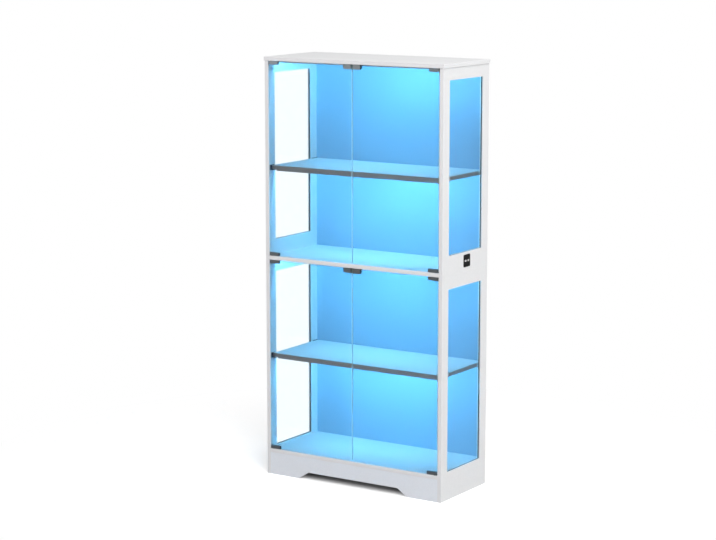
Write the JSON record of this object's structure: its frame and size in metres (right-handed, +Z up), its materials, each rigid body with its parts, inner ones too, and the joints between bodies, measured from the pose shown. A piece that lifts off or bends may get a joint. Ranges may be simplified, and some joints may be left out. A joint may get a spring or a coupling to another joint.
{
  "type": "glass display cabinet",
  "caption": "Tall white display cabinet in two stacked modules with frameless glass doors, glazed sides, lit shelves and a side charging outlet.",
  "frame": {"origin": "on the floor, under the middle of the cabinet's footprint", "axes": "+X to the viewer's right, +Y to the back, +Z up"},
  "size_m": [0.782, 0.332, 1.6],
  "materials": {
    "white_laminated_board": "white laminated particle board, fine satin grain",
    "clear_side_glass": "clear float glass with a green-grey edge",
    "clear_door_glass": "clear tempered glass, polished edges",
    "white_plastic": "moulded white plastic",
    "dark_rubber": "extruded dark grey rubber",
    "dark_metal": "dark blue-grey powder coat",
    "grey_plastic": "moulded grey nylon",
    "anodised_aluminium": "silver anodised extrusion",
    "light_tape": "white circuit tape with small emitters",
    "light_lens": "milky diffuser, lit cyan-blue",
    "black_plastic": "black moulded plastic, fine spark texture",
    "zinc_alloy": "die-cast zinc alloy, bare",
    "zinc_steel": "zinc-plated steel",
    "beech": "fluted beech dowel",
    "satin_steel": "satin stainless steel",
    "black_steel": "black-oxide steel"
  },
  "bodies": {
    "carcass": {"top_panel": "white_laminated_board", "middle_panel": "white_laminated_board", "bottom_panel": "white_laminated_board", "upper_shelf": "white_laminated_board", "lower_shelf": "white_laminated_board", "plinth_front": "white_laminated_board", "plinth_rear": "white_laminated_board", "back_panel_upper": "white_laminated_board", "back_panel_lower": "white_laminated_board", "side_panel_upper_left": "white_laminated_board", "side_glass_upper_left": "clear_side_glass", "side_panel_upper_right": "white_laminated_board", "side_glass_upper_right": "clear_side_glass", "side_panel_lower_left": "white_laminated_board", "side_glass_lower_left": "clear_side_glass", "side_panel_lower_right": "white_laminated_board", "side_glass_lower_right": "clear_side_glass", "glazing_beads": "white_plastic", "cam_caps": "white_plastic", "window_gaskets": "dark_rubber", "shelf_brackets": "dark_metal", "shelf_nosings": "anodised_aluminium", "pivot_bushes": "grey_plastic", "light_channels": "anodised_aluminium", "light_tapes": "light_tape", "light_lenses": "light_lens", "outlet_bezel": "black_plastic", "outlet_body": "black_plastic", "outlet_ports": "white_plastic", "cable_grommet": "dark_rubber", "cam_locks": "zinc_alloy", "cam_bolts": "zinc_steel", "wood_dowels": "beech", "back_panel_screws": "zinc_steel", "latch_housing_upper": "grey_plastic", "latch_housing_lower": "grey_plastic"},
    "door_upper_left": {"door_glass_upper_left": "clear_door_glass", "top_hinge_upper_left": "satin_steel", "bottom_hinge_upper_left": "satin_steel", "strike_clip_upper_left": "satin_steel", "grub_screws_upper_left": "black_steel"},
    "plunger_upper_left": {"latch_plunger_upper_left": "black_plastic"},
    "door_upper_right": {"door_glass_upper_right": "clear_door_glass", "top_hinge_upper_right": "satin_steel", "bottom_hinge_upper_right": "satin_steel", "strike_clip_upper_right": "satin_steel", "grub_screws_upper_right": "black_steel"},
    "plunger_upper_right": {"latch_plunger_upper_right": "black_plastic"},
    "door_lower_left": {"door_glass_lower_left": "clear_door_glass", "top_hinge_lower_left": "satin_steel", "bottom_hinge_lower_left": "satin_steel", "strike_clip_lower_left": "satin_steel", "grub_screws_lower_left": "black_steel"},
    "plunger_lower_left": {"latch_plunger_lower_left": "black_plastic"},
    "door_lower_right": {"door_glass_lower_right": "clear_door_glass", "top_hinge_lower_right": "satin_steel", "bottom_hinge_lower_right": "satin_steel", "strike_clip_lower_right": "satin_steel", "grub_screws_lower_right": "black_steel"},
    "plunger_lower_right": {"latch_plunger_lower_right": "black_plastic"}
  },
  "joints": [
    {"name": "door_hinge_upper_left", "type": "hinge", "parent": "carcass", "child": "door_upper_left", "pos_m": [-0.3605, -0.1595, 1.2175], "axis": [0, 0, -1], "range_deg": [0, 110]},
    {"name": "latch_press_upper_left", "type": "slide", "parent": "carcass", "child": "plunger_upper_left", "axis": [0, 1, 0], "range_m": [0, 0.003], "stiffness_N_per_m": 300},
    {"name": "door_hinge_upper_right", "type": "hinge", "parent": "carcass", "child": "door_upper_right", "pos_m": [0.3605, -0.1595, 1.2175], "axis": [0, 0, 1], "range_deg": [0, 110]},
    {"name": "latch_press_upper_right", "type": "slide", "parent": "carcass", "child": "plunger_upper_right", "axis": [0, 1, 0], "range_m": [0, 0.003], "stiffness_N_per_m": 300},
    {"name": "door_hinge_lower_left", "type": "hinge", "parent": "carcass", "child": "door_lower_left", "pos_m": [-0.3605, -0.1595, 0.4675], "axis": [0, 0, -1], "range_deg": [0, 110]},
    {"name": "latch_press_lower_left", "type": "slide", "parent": "carcass", "child": "plunger_lower_left", "axis": [0, 1, 0], "range_m": [0, 0.003], "stiffness_N_per_m": 300},
    {"name": "door_hinge_lower_right", "type": "hinge", "parent": "carcass", "child": "door_lower_right", "pos_m": [0.3605, -0.1595, 0.4675], "axis": [0, 0, 1], "range_deg": [0, 110]},
    {"name": "latch_press_lower_right", "type": "slide", "parent": "carcass", "child": "plunger_lower_right", "axis": [0, 1, 0], "range_m": [0, 0.003], "stiffness_N_per_m": 300}
  ]
}
